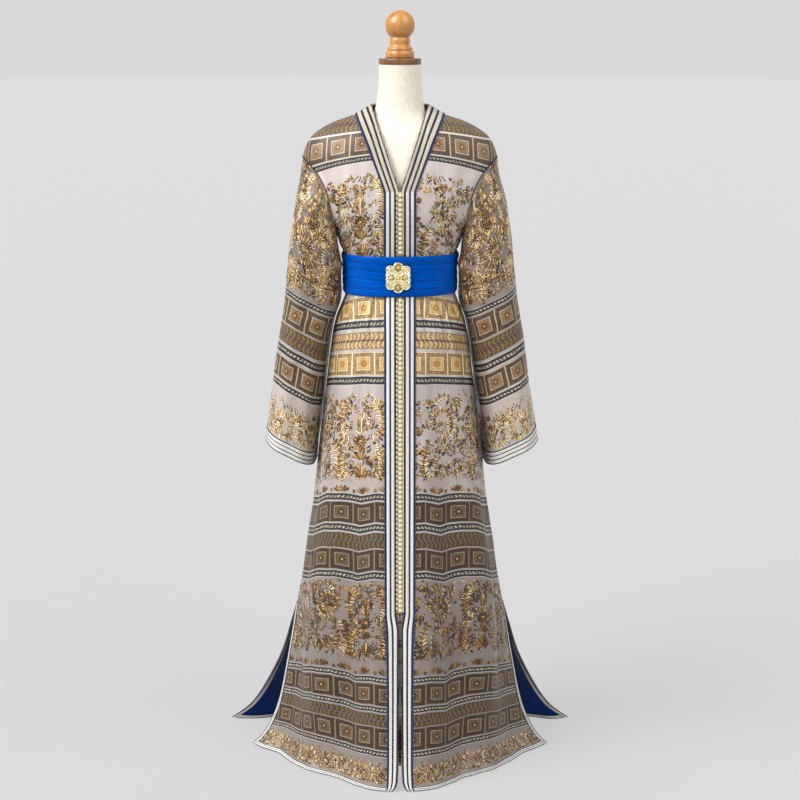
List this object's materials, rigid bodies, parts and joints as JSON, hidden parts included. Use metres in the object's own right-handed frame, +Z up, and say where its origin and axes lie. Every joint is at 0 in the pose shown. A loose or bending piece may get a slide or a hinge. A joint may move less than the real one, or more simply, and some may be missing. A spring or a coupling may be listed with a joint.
{
  "type": "moroccan kaftan on a dress form",
  "caption": "Floor-length belted kaftan of banded brocade, with wide sleeves and side slits, buttoned down the front, on a limbless dress form with a turned finial",
  "frame": {"origin": "centre of the underside of the stand's round base, on the floor", "axes": "+Z up; the front of the garment faces -Y; +X is the side on the right of someone who looks at the front"},
  "size_m": [0.796, 0.6674, 1.64],
  "materials": {
    "brocade": "silk brocade with metal-thread bands",
    "blue_satin": "royal blue satin",
    "woven_braid": "woven silk braid, cream with navy lines",
    "gold_cord": "knotted pale gold silk cord",
    "gilt_brass": "gilt, chased",
    "linen": "plain woven cover over the form",
    "oak": "golden oak, satin varnish",
    "walnut": "dark walnut, satin varnish",
    "steel": "brushed"
  },
  "bodies": {
    "root": {"back_braid": "woven_braid", "back_lining": "blue_satin", "back_neck_braid": "woven_braid", "back_panel": "brocade", "belt": "blue_satin", "belt_rosette": "gilt_brass", "cuff_braid_left": "woven_braid", "cuff_braid_right": "woven_braid", "form_base": "oak", "form_finial": "oak", "form_neck_cap": "walnut", "form_pole": "steel", "form_torso": "linen", "front_braid_left": "woven_braid", "front_braid_right": "woven_braid", "front_left": "brocade", "front_right": "brocade", "placket_lower": "gold_cord", "placket_upper": "gold_cord", "sleeve_left": "brocade", "sleeve_right": "brocade"}
  },
  "joints": []
}
